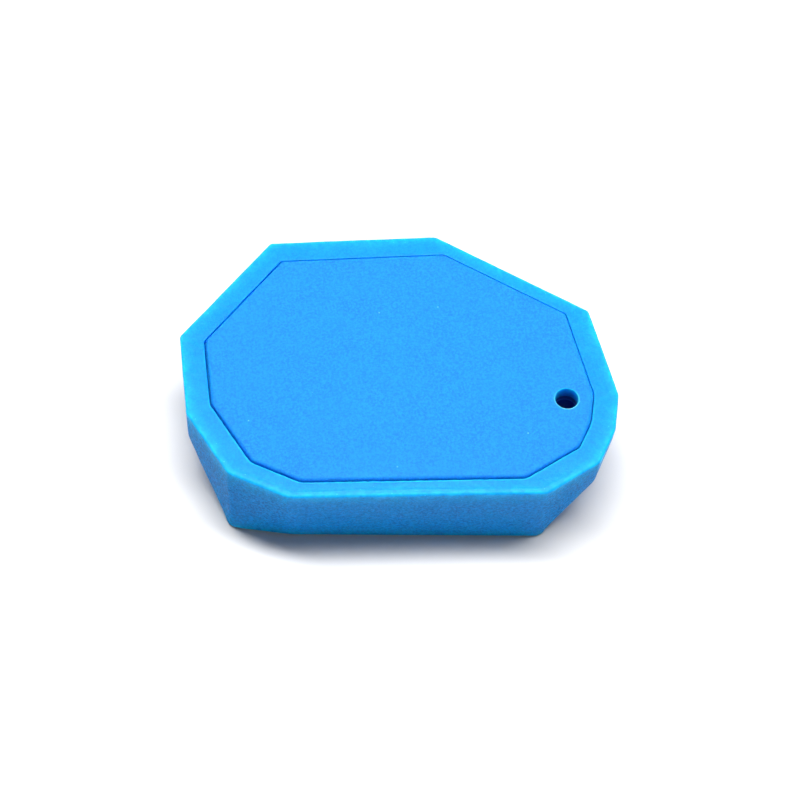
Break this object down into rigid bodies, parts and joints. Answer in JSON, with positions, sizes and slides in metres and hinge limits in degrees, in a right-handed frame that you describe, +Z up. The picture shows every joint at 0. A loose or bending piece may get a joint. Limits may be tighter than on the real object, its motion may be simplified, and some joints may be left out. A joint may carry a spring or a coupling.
{
  "type": "clay bar",
  "caption": "Palm-size faceted soft grip with an irregular outline and a flat clay pad set slightly proud of its rim, for rubbing bonded dirt off car paint.",
  "frame": {"origin": "on the surface the tool lies on, under the middle of the grip's outline", "axes": "+X along the longest side towards the end with the hang hole, +Z up out of the clay face"},
  "size_m": [0.0904, 0.0643, 0.0213],
  "materials": {
    "grip_rubber": "satin, slightly translucent moulded elastomer with fine moulding specks",
    "film": "tacky translucent film",
    "carrier_plastic": "matt sheet plastic",
    "clay": "matt, fine grain with small pits and pale specks"
  },
  "bodies": {
    "grip": {"grip_body": "grip_rubber", "adhesive_film": "film"},
    "pad": {"carrier_plate": "carrier_plastic", "clay_pad": "clay"}
  },
  "joints": [
    {"name": "pad_lift", "type": "slide", "parent": "grip", "child": "pad", "axis": [0, 0, 1], "range_m": [0, 0.012]}
  ]
}
